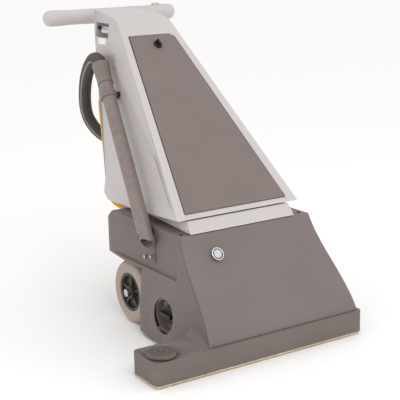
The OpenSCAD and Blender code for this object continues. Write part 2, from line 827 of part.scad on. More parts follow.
chassis_frame();
base_housing();
front_cover();
cover_badge();
cover_screws();
nozzle_housing();
bumper_band();
sole_plate();
brush_bearings();
brush_core();
brush_bristles();
brush_pulley();
drive_belt();
brush_motor();
motor_pulley();
roller_brackets();
left_support_roller();
right_support_roller();
corner_roller();
roller_bolt();
vacuum_motor();
motor_gasket();
exhaust_filter();
wheel_axle();
left_tyre();
left_hub();
right_tyre();
right_hub();
axle_nuts();
dial_cup();
height_dial();
upper_housing();
housing_neck();
door_gasket();
door_hinge_pins();
front_door();
door_latch();
bag_collar();
filter_bag();
handle_bar();
control_panel();
brush_switch();
vacuum_switch();
breaker_button();
thumb_switch();
pull_sleeve();
pull_knob();
blank_label();
upper_cord_hook();
lower_cord_hook();
wand_tube();
wand_cuff();
wand_clip();
wand_bracket();
hose_port();
vacuum_hose();
cord_relief();
power_cord();
cord_hank();
power_plug();
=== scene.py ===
# %% [markdown]
# # A wide carpet cleaner with a wand and a wound cord
# The machine is a commercial upright: a broad bumpered nozzle, a low dark body on two big wheels,
# a pale tapered body above it with a bag door, a T-bar handle, and a suction wand on its left side.
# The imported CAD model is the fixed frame. Each step below gives one piece its real surface.

# %% Load the frame
import json
import math
from math import cos, pi, radians, sin

import bmesh
import bpy
from mathutils import Matrix, Vector

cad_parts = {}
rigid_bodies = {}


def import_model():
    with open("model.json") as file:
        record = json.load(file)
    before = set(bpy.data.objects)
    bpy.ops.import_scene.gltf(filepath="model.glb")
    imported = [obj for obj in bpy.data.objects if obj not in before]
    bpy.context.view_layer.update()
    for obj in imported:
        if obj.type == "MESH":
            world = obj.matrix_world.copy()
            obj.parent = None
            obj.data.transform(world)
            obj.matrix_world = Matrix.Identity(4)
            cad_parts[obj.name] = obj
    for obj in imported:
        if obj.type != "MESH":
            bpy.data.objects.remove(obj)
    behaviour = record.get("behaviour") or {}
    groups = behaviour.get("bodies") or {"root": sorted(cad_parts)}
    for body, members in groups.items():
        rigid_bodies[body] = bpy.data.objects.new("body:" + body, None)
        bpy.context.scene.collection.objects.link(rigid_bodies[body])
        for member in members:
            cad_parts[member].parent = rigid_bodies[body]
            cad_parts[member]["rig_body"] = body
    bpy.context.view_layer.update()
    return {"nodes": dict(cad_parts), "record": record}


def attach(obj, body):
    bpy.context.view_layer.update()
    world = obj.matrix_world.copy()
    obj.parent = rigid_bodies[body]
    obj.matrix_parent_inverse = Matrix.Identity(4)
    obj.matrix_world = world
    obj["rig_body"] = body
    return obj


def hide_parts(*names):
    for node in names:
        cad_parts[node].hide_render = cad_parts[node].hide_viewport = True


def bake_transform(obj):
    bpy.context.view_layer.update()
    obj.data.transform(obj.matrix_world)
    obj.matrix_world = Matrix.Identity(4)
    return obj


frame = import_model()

MM = 0.001
SLOT_OF = {s["node"]: s["material_slot"] for s in frame["record"]["subparts"]}

# %% [markdown]
# ## Places
# Distances run back from the nozzle's front edge, as they do in the CAD source. One helper turns
# such a station, in millimetres, into a point of the model, so every step can use plain numbers.

# %% Helpers for places and objects
MACHINE = 1.062


def at(x, run, z):
    return Vector((x * MM, run * MM - MACHINE / 2, z * MM))


def link(name, mesh):
    piece = bpy.data.objects.new(name, mesh)
    bpy.context.scene.collection.objects.link(piece)
    return piece


def pick(piece):
    bpy.ops.object.select_all(action="DESELECT")
    piece.select_set(True)
    bpy.context.view_layer.objects.active = piece
    return piece


def settle(piece, name):
    """Applies the object's place, so that it sits in the mesh, and names the piece."""
    pick(piece)
    bpy.ops.object.transform_apply(location=True, rotation=True, scale=True)
    piece.name = piece.data.name = name
    return piece


def apply_all(piece):
    pick(piece)
    for modifier in list(piece.modifiers):
        bpy.ops.object.modifier_apply(modifier=modifier.name)
    return piece


def outward(piece):
    """Merges doubles and turns every face outwards."""
    pick(piece)
    bpy.ops.object.mode_set(mode="EDIT")
    bpy.ops.mesh.select_all(action="SELECT")
    bpy.ops.mesh.remove_doubles(threshold=0.00002)
    bpy.ops.mesh.normals_make_consistent(inside=False)
    bpy.ops.object.mode_set(mode="OBJECT")
    return piece


def smooth(piece, angle=30):
    pick(piece)
    bpy.ops.object.shade_smooth_by_angle(angle=radians(angle))
    return piece


def one_piece(*pieces):
    """Joins objects in the first of them."""
    bpy.ops.object.select_all(action="DESELECT")
    for part in pieces:
        part.select_set(True)
    bpy.context.view_layer.objects.active = pieces[0]
    bpy.ops.object.join()
    return pieces[0]


def body_of(node):
    return frame["nodes"][node]["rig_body"]


# %% [markdown]
# ## Camera and light
# The machine stands a little turned, seen from its front left corner with a long lens. The light
# is that of a plain studio: a large soft lamp above the front, a weaker one on each side, white
# all round and a pale floor.

# %% Camera
AZIMUTH, ELEVATION, ROLL = radians(-32.99), radians(13.81), radians(1.21)
forward = Vector((-sin(AZIMUTH) * cos(ELEVATION), cos(AZIMUTH) * cos(ELEVATION), -sin(ELEVATION)))
level = Vector((cos(AZIMUTH), sin(AZIMUTH), 0))
down = forward.cross(level)
side = cos(ROLL) * level + sin(ROLL) * down
upright = sin(ROLL) * level - cos(ROLL) * down
camera = bpy.data.objects.new("camera", bpy.data.cameras.new("camera"))
bpy.context.scene.collection.objects.link(camera)
camera.data.sensor_width = 36
camera.data.lens = 96.66
camera.data.clip_end = 50
turn = Matrix((side, upright, -forward)).transposed().to_4x4()
camera.matrix_world = Matrix.Translation(at(-1835.8, -2476.1, 1266.45)) @ turn
bpy.context.scene.camera = camera
print("camera at", camera.location[:])

# %% Floor, sky and lamps
bpy.context.scene.view_settings.view_transform = "Standard"
world = bpy.data.worlds.new("studio")
world.use_nodes = True
world.node_tree.nodes["Background"].inputs["Color"].default_value = (1, 1, 1, 1)
world.node_tree.nodes["Background"].inputs["Strength"].default_value = 1.0
bpy.context.scene.world = world


def lamp(name, place, aim, size, power):
    light = bpy.data.lights.new(name, "AREA")
    light.size = size
    light.energy = power
    holder = bpy.data.objects.new(name, light)
    holder.location = place
    holder.rotation_euler = (Vector(aim) - Vector(place)).to_track_quat("-Z", "Y").to_euler()
    bpy.context.scene.collection.objects.link(holder)


lamp("key", (-0.4, -2.8, 3.2), (0, 0, 0.4), 2.0, 28)
lamp("left_fill", (-3.2, 0.4, 1.8), (0, 0, 0.4), 2.0, 2)
lamp("right_fill", (2.8, -1.6, 1.6), (0, 0, 0.4), 2.0, 6)

bpy.ops.mesh.primitive_plane_add(size=60, location=(0, 0, 0))
floor = settle(bpy.context.active_object, "floor")

# %% [markdown]
# ## Finishes
# Moulded plastic is never one flat colour. Its mould is eroded to a fine grain, its shine changes
# from place to place as hands and cloths rub it, and its edges are painted lighter, partly as real
# wear and partly as a painted highlight. One recipe covers all of that. What differs between the
# parts is colour, grain and how strongly their edges are lightened for wear and painted highlight.

# %% The moulded finish and its relatives
finishes = {}


def colour(red, green, blue):
    """A colour as a screen shows it, 0 to 255, turned into light values."""
    return tuple(pow(c / 255, 2.2) for c in (red, green, blue)) + (1,)


def knot(tree, kind, links=(), **settings):
    """Adds a node. settings are its inputs by name, and links join its inputs to outputs."""
    made = tree.nodes.new("ShaderNode" + kind)
    for key, value in settings.items():
        made.inputs[key.replace("_", " ")].default_value = value
    for socket, source in links:
        tree.links.new(source, made.inputs[socket])
    return made


def shade_range(tree, source, low, high, dark, light):
    """Maps source from low..high to a colour between dark and light."""
    ramp = tree.nodes.new("ShaderNodeValToRGB")
    ramp.color_ramp.elements[0].position = low
    ramp.color_ramp.elements[0].color = dark
    ramp.color_ramp.elements[1].position = high
    ramp.color_ramp.elements[1].color = light
    tree.links.new(source, ramp.inputs["Fac"])
    return ramp.outputs["Color"]


def tint(base, factor):
    return tuple(min(1, c * factor) for c in base[:3]) + (1,)


def finish(slot, base, rough=0.5, grain=0.9, depth=0.12, mottle=0.05, metal=0.0, worn=0.5,
           stretch=(1, 1, 1)):
    """A surface with mottled colour, uneven shine, a grain of the given size in mm, and lighter edges that
    are partly real wear and partly a painted highlight.
    """
    material = bpy.data.materials.new(slot)
    material.use_nodes = True
    tree = material.node_tree
    shader = tree.nodes["Principled BSDF"]
    shader.inputs["Metallic"].default_value = metal
    shader.inputs["Specular IOR Level"].default_value = 0.4
    place = knot(tree, "TexCoord").outputs["Object"]
    spread = knot(tree, "Mapping", [("Vector", place)], Scale=stretch).outputs["Vector"]
    broad = knot(tree, "TexNoise", [("Vector", place)], Scale=7.0, Detail=5.0).outputs["Fac"]
    fine = knot(tree, "TexNoise", [("Vector", spread)], Scale=1 / (grain * MM),
                Detail=2.0).outputs["Fac"]
    rub = knot(tree, "TexNoise", [("Vector", spread)], Scale=60.0, Detail=6.0).outputs["Fac"]
    body = shade_range(tree, broad, 0.3, 0.7, tint(base, 1 - mottle), tint(base, 1 + mottle))
    # Edges with high pointiness, in rubbed patches, are painted lighter: partly real wear, partly a
    # painted highlight.
    edge = knot(tree, "NewGeometry").outputs["Pointiness"]
    wear_and_highlight_mask = shade_range(tree, edge, 0.53, 0.62, (0, 0, 0, 1), (worn, worn, worn, 1))
    patch = shade_range(tree, rub, 0.42, 0.62, (0, 0, 0, 1), (1, 1, 1, 1))
    both = knot(tree, "Math", [(0, wear_and_highlight_mask), (1, patch)])
    both.operation = "MULTIPLY"
    blend = tree.nodes.new("ShaderNodeMix")
    blend.data_type = "RGBA"
    tree.links.new(both.outputs[0], blend.inputs["Factor"])
    tree.links.new(body, blend.inputs["A"])
    # The lighter edge colour, partly real wear and partly a painted highlight.
    blend.inputs["B"].default_value = tint(base, 1.35)
    tree.links.new(blend.outputs["Result"], shader.inputs["Base Color"])
    shine = knot(tree, "MapRange", [("Value", rub)], To_Min=rough - 0.08, To_Max=rough + 0.08)
    tree.links.new(shine.outputs["Result"], shader.inputs["Roughness"])
    bump = knot(tree, "Bump", [("Height", fine)], Strength=depth, Distance=0.0004)
    tree.links.new(bump.outputs["Normal"], shader.inputs["Normal"])
    finishes[slot] = material
    return material


finish("base_plastic", colour(114, 104, 101), rough=0.56, grain=0.8, depth=0.35)
finish("cover_plastic", colour(116, 106, 103), rough=0.52, grain=0.8, depth=0.35)
finish("pale_plastic", colour(194, 187, 187), rough=0.48, grain=0.9, depth=0.25, mottle=0.02)
finish("door_plastic", colour(120, 108, 105), rough=0.50, grain=0.7, depth=0.3)
finish("black_plastic", colour(34, 32, 32), rough=0.42, grain=0.6, depth=0.25, worn=0.8)
finish("hub_plastic", colour(62, 56, 52), rough=0.5, grain=0.6, depth=0.25, worn=0.8)
finish("wand_plastic", colour(126, 114, 110), rough=0.40, grain=0.5, depth=0.15)
finish("hose_plastic", colour(84, 76, 72), rough=0.5, grain=0.5, depth=0.2, worn=1.0)
finish("thumb_plastic", colour(178, 184, 170), rough=0.45, grain=0.6)
finish("bumper_rubber", colour(112, 102, 98), rough=0.66, grain=1.2, depth=0.3, mottle=0.06)
finish("bumper_roller", colour(96, 86, 82), rough=0.5, grain=0.7, depth=0.2)
finish("grey_tyre", colour(166, 151, 142), rough=0.78, grain=1.4, depth=0.3, mottle=0.04)
finish("black_rubber", colour(28, 27, 27), rough=0.7, grain=1.0, depth=0.3)
finish("dark_steel", colour(70, 68, 68), rough=0.38, grain=0.4, metal=0.7, worn=0.8)
finish("bright_steel", colour(196, 195, 196), rough=0.28, grain=0.25, metal=1.0,
       stretch=(1, 1, 8))
finish("sole_metal", colour(222, 203, 168), rough=0.34, grain=0.3, metal=0.85,
       stretch=(0.1, 1, 1))
finish("badge_metal", colour(206, 206, 210), rough=0.3, grain=0.25, metal=0.8,
       stretch=(0.1, 1, 1))
finish("motor_metal", colour(150, 150, 154), rough=0.5, grain=1.1, depth=0.4, metal=0.8)
finish("bristle_nylon", colour(38, 36, 36), rough=0.6, grain=0.3, depth=0.4)
finish("switch_red", colour(170, 40, 34), rough=0.3, grain=0.6, depth=0.05)
finish("label_white", colour(238, 238, 236), rough=0.25, grain=0.5, depth=0.03, mottle=0.01)
finish("filter_paper", colour(226, 221, 208), rough=0.9, grain=0.5, depth=0.5)
finish("bag_cloth", colour(222, 216, 200), rough=0.92, grain=0.7, depth=0.6)
finish("yellow_cord", colour(244, 186, 62), rough=0.45, grain=0.6, depth=0.1, mottle=0.04)
finish("floor", colour(250, 249, 248), rough=0.9, grain=3.0, depth=0.02, mottle=0.004)
floor.data.materials.append(finishes["floor"])
print(len(finishes), "finishes")

# %% [markdown]
# Every CAD node starts with the finish of its own slot, so nothing is left plain while the
# pieces that replace some of them are being made.

# %% Dress the CAD nodes
for node, shell in frame["nodes"].items():
    for holder in shell.material_slots:
        holder.material = finishes[SLOT_OF[node]]


def dress(piece, node, *others, body=None):
    """piece takes the node's finish and body, and stands for it."""
    piece.data.materials.clear()
    piece.data.materials.append(finishes[SLOT_OF[node]])
    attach(piece, body or body_of(node))
    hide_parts(node, *others)
    return piece


def trim(piece, slot, body="root"):
    """piece takes a finish and a body, and stands for no CAD node."""
    piece.data.materials.append(finishes[slot])
    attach(piece, body)
    return piece


def refinish(piece, slot):
    """piece keeps what it stands for and takes another slot's finish."""
    piece.data.materials[0] = finishes[slot]
    return piece


# %% [markdown]
# ## The suction hose
# The hose is one fixed length of ribbed plastic. It leaves the port low on the back wall, swings
# out to the left and turns over into the head of the wand. A ring is drawn every few millimetres
# along that line, and the rings swell and shrink in turn to make the ribs. Such a hose is moulded
# in two halves, and a pale line is painted along its parting line: a painted highlight. The mesh
# keeps that line in an attribute, which the hose's finish reads. The hose bends with the wand: its
# head follows the wand as it is lifted, and its foot stays with the body.

# %% A tube drawn along a line
def fine_line(points, step):
    """A smooth line through the points, with a point about every step metres."""
    stops = [points[0]] + list(points) + [points[-1]]
    line = []
    for a, b, c, d in zip(stops, stops[1:], stops[2:], stops[3:]):
        count = max(1, round((c - b).length / step))
        for k in range(count):
            t = k / count
            line.append(0.5 * ((2 * b) + (c - a) * t + (2 * a - 5 * b + 4 * c - d) * t * t
                               + (3 * b - a - 3 * c + d) * t ** 3))
    return line + [points[-1]]


def tube(name, line, radii, sides):
    """A closed tube along the line, with one radius for each of its points."""
    mesh = bpy.data.meshes.new(name)
    shape = bmesh.new()
    axis = (line[1] - line[0]).normalized()
    lead = axis.orthogonal().normalized()
    rings = []
    for i, (centre, radius) in enumerate(zip(line, radii)):
        new_axis = (line[min(i + 1, len(line) - 1)] - line[max(i - 1, 0)]).normalized()
        lead = (axis.rotation_difference(new_axis) @ lead).normalized()
        axis = new_axis
        across = axis.cross(lead)
        rings.append([shape.verts.new(centre + radius * (cos(2 * pi * k / sides) * lead
                                                         + sin(2 * pi * k / sides) * across))
                      for k in range(sides)])
    for near, far in zip(rings, rings[1:]):
        for k in range(sides):
            n = (k + 1) % sides
            shape.faces.new((near[k], near[n], far[n], far[k]))
    shape.faces.new(list(reversed(rings[0])))
    shape.faces.new(rings[-1])
    shape.to_mesh(mesh)
    shape.free()
    return smooth(outward(link(name, mesh)), 60)


# %% The ribbed hose
HOSE_ROUTE = [(-83.9, 841, 842.6), (-83.3, 854, 853), (-82.5, 872, 857), (-81, 894, 853),
              (-78, 917, 841), (-75, 942, 822), (-71, 967, 797), (-68, 987, 768), (-65, 1002, 735),
              (-63, 1010, 700), (-60, 1012, 665), (-55, 1006, 632), (-46, 990, 604),
              (-32, 974, 580), (-12, 962, 562), (14, 954, 550), (42, 950, 543), (70, 944, 540),
              (94, 931, 539), (111, 911, 540), (120, 886, 545)]
HOSE_D = 0.046
RIB_PITCH = 0.0072
HOSE_SIDES = 36
rib = [0.0, 0.85, 1.0, 0.85]
hose_line = fine_line([at(*p) for p in reversed(HOSE_ROUTE)], RIB_PITCH / len(rib))
hose_radii = [HOSE_D / 2 * (0.87 + 0.13 * rib[i % len(rib)]) for i in range(len(hose_line))]
hose = tube("suction_hose", hose_line, hose_radii, HOSE_SIDES)
half_way = len(hose_line) // 2
ring = hose.data.vertices[half_way * HOSE_SIDES:(half_way + 1) * HOSE_SIDES]
# The pale line is laid along the side of the hose that faces this way: it is a painted highlight.
highlight_facing = Vector((-0.93, -0.30, 0.2))
highlight_side = max(range(HOSE_SIDES), key=lambda k: (ring[k].co - hose_line[half_way]).dot(highlight_facing))
seam_highlight = hose.data.attributes.new("seam_highlight", "FLOAT", "POINT")
for i, value in enumerate(seam_highlight.data):
    value.value = 1.0 if i % HOSE_SIDES == highlight_side else 0.0

hose_finish = finishes["hose_plastic"].node_tree
shader = hose_finish.nodes["Principled BSDF"]
under = shader.inputs["Base Color"].links[0].from_socket
highlight_mask = knot(hose_finish, "Attribute")
highlight_mask.attribute_name = "seam_highlight"
over = hose_finish.nodes.new("ShaderNodeMix")
over.data_type = "RGBA"
hose_finish.links.new(highlight_mask.outputs["Fac"], over.inputs["Factor"])
hose_finish.links.new(under, over.inputs["A"])
# The pale colour of the painted highlight along the hose's parting line.
over.inputs["B"].default_value = colour(176, 168, 162)
hose_finish.links.new(over.outputs["Result"], shader.inputs["Base Color"])
hose.data.materials.append(finishes["hose_plastic"])
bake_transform(hose)
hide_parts("vacuum_hose")

# %% [markdown]
# ## The wound power cord
# A little over fourteen metres of yellow cord are kept on two hooks on the back wall. The winding is built
# turn by turn, as a person does it: down the right run, round the low hook, up the left run and
# over the top hook, while each new turn steps one cord width inwards, outwards or sideways.

# %% The back wall's own directions
WALL_LEAN = math.atan2(180, 513)


def wall_run(z):
    return 820 + (z - 440) * math.tan(WALL_LEAN)


HOOK_X, HOOK_Z, LOW_HOOK_X, LOW_HOOK_Z = 20, 690, -2, 398


def on_wall(x, drop, off):
    """x across, drop down the wall and off it, in mm from the top hook."""
    return at(HOOK_X + x, wall_run(HOOK_Z) - drop * sin(WALL_LEAN) + off * cos(WALL_LEAN),
              HOOK_Z - drop * cos(WALL_LEAN) - off * sin(WALL_LEAN))


# %% The winding
CORD = 9
TOP_R, LOW_R, STAND_OFF, STACK = 58, 78, 10, 42
LAYERS, COLUMNS = 4, 4
low_centre = Vector((LOW_HOOK_X - HOOK_X, (HOOK_Z - LOW_HOOK_Z) / cos(WALL_LEAN)))
slope = math.atan2(low_centre.y, low_centre.x)
lean = math.acos((TOP_R - LOW_R) / low_centre.length)
right_angle, left_angle = slope - lean, slope + lean
places = []
for column in range(COLUMNS):
    order = range(LAYERS) if column % 2 == 0 else reversed(range(LAYERS))
    places += [(CORD * (layer + 0.5), STAND_OFF + CORD / 2 + column * (STACK - CORD) / (COLUMNS - 1))
               for layer in order]


def round_hook(centre, radius, angle, off):
    return on_wall(centre.x + radius * cos(angle), centre.y + radius * sin(angle), off)


def mixed(a, b, t):
    s = t * t * (3 - 2 * t)
    return a + (b - a) * s


winding = []
top_centre = Vector((0, 0))
for i, (inner, off) in enumerate(places):
    last = i == len(places) - 1
    next_inner, next_off = places[min(i + 1, len(places) - 1)]
    for k in range(3 if i == 0 else 0, 5):
        t = k / 5
        start = top_centre + (TOP_R - inner) * Vector((cos(right_angle), sin(right_angle)))
        end = low_centre + (LOW_R - inner) * Vector((cos(right_angle), sin(right_angle)))
        spot = start + (end - start) * t
        winding.append(on_wall(spot.x, spot.y, off))
    for k in range(4 if last else 13):
        angle = right_angle + (left_angle - right_angle) * k / 13
        winding.append(round_hook(low_centre, LOW_R - inner, angle, off))
    if last:
        break
    for k in range(6):
        t = k / 6
        now = mixed(inner, next_inner, t)
        start = low_centre + (LOW_R - now) * Vector((cos(left_angle), sin(left_angle)))
        end = top_centre + (TOP_R - now) * Vector((cos(left_angle), sin(left_angle)))
        spot = start + (end - start) * t
        winding.append(on_wall(spot.x, spot.y, mixed(off, next_off, t)))
    for k in range(9):
        angle = left_angle + (right_angle + 2 * pi - left_angle) * k / 9
        winding.append(round_hook(top_centre, TOP_R - next_inner, angle, next_off))

LEAD_ROUTE = [(150, 933, 642), (150, 950, 635), (148, 962, 622), (140, 964, 608), (127, 955, 597),
              (112, 940, 589), (98, 924, 583), (86, 908, 576), (78, 895, 565), (74.5, 884, 550)]
PLUG_X, PLUG_DROP, PLUG_OFF = low_centre.x + 46, low_centre.y + 66, STAND_OFF + STACK - 8
tail = [on_wall(PLUG_X + 3, PLUG_DROP - 14, PLUG_OFF + 2), on_wall(PLUG_X, PLUG_DROP + 2, PLUG_OFF)]
cord_line = fine_line([at(*p) for p in LEAD_ROUTE] + winding + tail, 0.011)
cord_curve = bpy.data.curves.new("power_cord", "CURVE")
cord_curve.dimensions = "3D"
cord_curve.bevel_depth = CORD * MM / 2
cord_curve.bevel_resolution = 2
cord_curve.use_fill_caps = True
strand = cord_curve.splines.new("POLY")
strand.points.add(len(cord_line) - 1)
for point, spot in zip(strand.points, cord_line):
    point.co = (*spot, 1)
cord = link("wound_cord", cord_curve)
dress(cord, "power_cord", "cord_hank")

# %% [markdown]
# The plug hangs from the outermost turn. Its body is a moulded grip with finger ribs, which
# tapers to the cord, and it has two flat blades.

# %% The plug
bpy.ops.mesh.primitive_cylinder_add(vertices=40, radius=0.0135, depth=0.030, location=(0, 0, 0.019))
plug = bpy.context.active_object
pick(plug)
bpy.ops.object.mode_set(mode="EDIT")
shape = bmesh.from_edit_mesh(plug.data)
for face in shape.faces:
    face.select = face.normal.z < -0.9
bmesh.update_edit_mesh(plug.data)
bpy.ops.mesh.extrude_region_move(TRANSFORM_OT_translate={"value": (0, 0, -0.006)})
bpy.ops.transform.resize(value=(0.45, 0.45, 1))
bpy.ops.object.mode_set(mode="OBJECT")
plug.modifiers.new("edge", "BEVEL").width = 0.0016
plug.modifiers["edge"].segments = 3
apply_all(plug)
parts = [plug]
for level_z in (0.010, 0.016, 0.022):
    bpy.ops.mesh.primitive_torus_add(location=(0, 0, level_z), major_radius=0.0134,
                                     minor_radius=0.0013, major_segments=40, minor_segments=10)
    parts.append(bpy.context.active_object)
for x in (-0.0065, 0.0065):
    bpy.ops.mesh.primitive_cube_add(size=1, location=(x, 0, 0.044))
    blade = bpy.context.active_object
    blade.scale = (0.0016, 0.0062, 0.021)
    bpy.ops.object.transform_apply(scale=True)
    blade.modifiers.new("edge", "BEVEL").width = 0.0005
    apply_all(blade)
    parts.append(blade)
plug = one_piece(*parts)
axis_down = on_wall(0, 1000, 0) - on_wall(0, 0, 0)
plug.matrix_world = (Matrix.Translation(on_wall(PLUG_X, PLUG_DROP, PLUG_OFF))
                     @ axis_down.to_track_quat("Z", "Y").to_matrix().to_4x4())
settle(plug, "cord_plug")
smooth(plug, 35)
dress(plug, "power_plug")

# %% [markdown]
# ## Moulded shells with real edges
# A mould leaves no sharp corner: each edge of a housing is rounded by a few millimetres, and that
# round is what catches the light. A copy of the CAD shell is merged, its flat faces are joined
# and its long edges are bevelled. The copy then stands for the CAD node.

# %% Round the edges of a copied node
def copied(node):
    """A merged copy of a node's mesh, with its flat faces joined."""
    piece = pick(link(node.replace("_", "-"), frame["nodes"][node].data.copy()))
    bpy.ops.object.mode_set(mode="EDIT")
    bpy.ops.mesh.select_all(action="SELECT")
    bpy.ops.mesh.remove_doubles(threshold=0.00001)
    bpy.ops.mesh.dissolve_limited(angle_limit=radians(0.5))
    bpy.ops.object.mode_set(mode="OBJECT")
    return piece


def round_edges(piece, edge, least=8, segments=3, angle=30, broad=None, broad_edge=0):
    """Bevels edges longer than least mm by edge mm, and those that broad picks by broad_edge."""
    widest = max(edge, broad_edge)
    shape = bmesh.new()
    shape.from_mesh(piece.data)
    weight = shape.edges.layers.float.new("bevel_weight_edge")
    for line in shape.edges:
        sharp = len(line.link_faces) == 2 and line.calc_face_angle(0) > radians(angle)
        if sharp and line.calc_length() > least * MM:
            line[weight] = broad_edge / widest if broad and broad(line) else edge / widest
    shape.to_mesh(piece.data)
    shape.free()
    bevel = piece.modifiers.new("edge", "BEVEL")
    bevel.limit_method = "WEIGHT"
    bevel.width = widest * MM
    bevel.segments = segments
    apply_all(piece)
    return smooth(piece, 35)


def wall_x(z):
    """The base's left wall leans in by 37 mm over its height of 373 mm."""
    return -205 + 37 * z / 373


def on_left_wall(line):
    """True for an edge in the base's slanted left wall."""
    return all(abs(end.co.x / MM - wall_x(end.co.z / MM)) < 0.6 for end in line.verts)


for node, edge in (("base_housing", 5), ("nozzle_housing", 3), ("bumper_band", 4),
                   ("housing_neck", 3), ("front_door", 3), ("sole_plate", 1),
                   ("lower_cord_hook", 3), ("upper_cord_hook", 2.5), ("height_dial", 3),
                   ("control_panel", 1.5), ("chassis_frame", 1), ("brush_motor", 2),
                   ("exhaust_filter", 1)):
    piece = dress(round_edges(copied(node), edge), node)
    print(node, len(piece.data.polygons), "faces")
cover = round_edges(copied("front_cover"), 4, broad=on_left_wall, broad_edge=9, segments=4)
dress(cover, "front_cover")
print("front cover", len(cover.data.polygons), "faces")

# %% [markdown]
# ## The upper housing
# This is one big blow-moulded shell. Its four long corners are rounder than its other edges. The
# left wall is set in a little where the wand lies, below a soft crease that runs down from a
# short ledge, and a raised pad is left for the wand's clip.

# %% Round the corners of the upper housing
UPPER_X = 70


def upper_half(run, z):
    return 311.5 - 0.1271 * z - 0.1024 * run


def on_outer_corner(line):
    """True for an edge that lies along one of the body's two slanted sides."""
    for end in line.verts:
        run = (end.co.y + MACHINE / 2) / MM
        if abs(abs(end.co.x / MM - UPPER_X) - upper_half(run, end.co.z / MM)) > 0.6:
            return False
    return True


upper = round_edges(copied("upper_housing"), 4, broad=on_outer_corner, broad_edge=11, segments=5)
print("upper housing", len(upper.data.polygons), "faces")

# %% Set in the left wall behind the wand
CELL = 15
SET_IN = 9
CLIP_PAD = Vector((0, 738, 735))
shape = bmesh.new()
shape.from_mesh(upper.data)
for axis, first, last in ((1, 240, 1000), (2, 400, 1000)):
    for step in range(first, last, CELL):
        wall_faces = [f for f in shape.faces if abs(f.normal.x) > 0.9
                      and f.calc_center_median().x < UPPER_X * MM]
        cut_through = wall_faces + list({e for f in wall_faces for e in f.edges})
        cut_through += list({v for f in wall_faces for v in f.verts})
        origin = at(0, step, 0) if axis == 1 else at(0, 0, step)
        normal = Vector((0, 1, 0)) if axis == 1 else Vector((0, 0, 1))
        bmesh.ops.bisect_plane(shape, geom=cut_through, plane_co=origin, plane_no=normal)


def crease_height(run):
    return 512 + 0.633 * (run - 296) if run < 796 else 867 - 0.25 * (run - 812)


def soft_step(value):
    value = max(0.0, min(1.0, value))
    return value * value * (3 - 2 * value)


for point in shape.verts:
    run, z = (point.co.y + MACHINE / 2) / MM, point.co.z / MM
    if point.co.x > (UPPER_X - upper_half(run, z) + 20) * MM or not 396 < z < 900:
        continue
    below = soft_step((crease_height(run) - z) / (26 if run < 790 else 6))
    pad = math.exp(-((run - CLIP_PAD.y) ** 2 + (z - CLIP_PAD.z) ** 2) / 30 ** 2)
    foot = soft_step((z - 396) / 60)
    point.co.x += SET_IN * MM * below * foot * (1 - pad)
shape.to_mesh(upper.data)
shape.free()
smooth(upper, 35)
dress(upper, "upper_housing")
print("upper housing", len(upper.data.polygons), "faces after the set-in")

# %% [markdown]
# ## The handle
# The T-bar is thick, so that two gloved hands can push it. It swells towards its round ends, and
# a broad shoulder grows out of the body into its middle. Bar and shoulder are made as two
# solids, joined, remeshed as one skin and smoothed, which leaves a soft hollow where they meet.

# %% Bar, shoulder and the seat of the control panel
BAR_RUN, BAR_Z, BAR_R, BAR_HALF = 1033, 993, 29, 269
swell = [(-1.0, 0.30), (-0.992, 0.52), (-0.975, 0.74), (-0.95, 0.90), (-0.92, 0.975),
         (-0.88, 1.0), (-0.80, 0.985), (-0.66, 0.93), (-0.5, 0.92), (-0.30, 0.95)]
swell += [(-x, r) for x, r in reversed(swell)]
bpy.ops.mesh.primitive_circle_add(vertices=48, radius=BAR_R * MM * swell[0][1], fill_type="NGON",
                                  location=at(UPPER_X - BAR_HALF, BAR_RUN, BAR_Z),
                                  rotation=(0, pi / 2, 0))
bar = bpy.context.active_object
bpy.ops.object.mode_set(mode="EDIT")
for (x0, r0), (x1, r1) in zip(swell, swell[1:]):
    bpy.ops.mesh.extrude_region_move(
        TRANSFORM_OT_translate={"value": ((x1 - x0) * BAR_HALF * MM, 0, 0)})
    bpy.ops.transform.resize(value=(1, r1 / r0, r1 / r0))
bpy.ops.object.mode_set(mode="OBJECT")
bar = outward(settle(bar, "handle-bar"))
bpy.ops.mesh.primitive_cube_add(size=1, location=at(UPPER_X, 1018, 995))
shoulder = bpy.context.active_object
shoulder.scale = (0.164, 0.034, 0.052)
shoulder = settle(shoulder, "shoulder")
join = bar.modifiers.new("join", "BOOLEAN")
join.operation = "UNION"
join.object = shoulder
skin = bar.modifiers.new("skin", "REMESH")
skin.mode = "VOXEL"
skin.voxel_size = 0.0028
soften = bar.modifiers.new("soften", "SMOOTH")
soften.factor = 0.6
soften.iterations = 14
apply_all(bar)
bpy.data.objects.remove(shoulder)


def cut(piece, place, size, lean=0.0):
    """Cuts a box out of a piece. size is in mm and lean turns the box about X."""
    bpy.ops.mesh.primitive_cube_add(size=1, location=place, rotation=(lean, 0, 0))
    cutter = bpy.context.active_object
    cutter.scale = [length * MM for length in size]
    hole = piece.modifiers.new("hole", "BOOLEAN")
    hole.operation = "DIFFERENCE"
    hole.object = cutter
    apply_all(piece)
    bpy.data.objects.remove(cutter)
    return piece


PANEL_LEAN = radians(-24)
panel_place = at(UPPER_X, 1012, 1021) + Vector((0, 0.034 * cos(PANEL_LEAN) + 0.018 * sin(-PANEL_LEAN),
                                                0.034 * sin(PANEL_LEAN) + 0.018 * cos(PANEL_LEAN)))
cut(bar, panel_place, (158, 70, 60), PANEL_LEAN)
cut(bar, at(261, BAR_RUN, 1025), (32, 16, 30))
smooth(bar, 40)
dress(bar, "handle_bar")
print("handle", len(bar.data.polygons), "faces")

# %% [markdown]
# ## The filter bag
# Behind the door hangs a cloth bag, held open by the air that is blown into it. Its solid is
# drawn in a little, remeshed evenly and put under air pressure in a short cloth simulation, in
# which no point may end up more than 14 mm from its start.

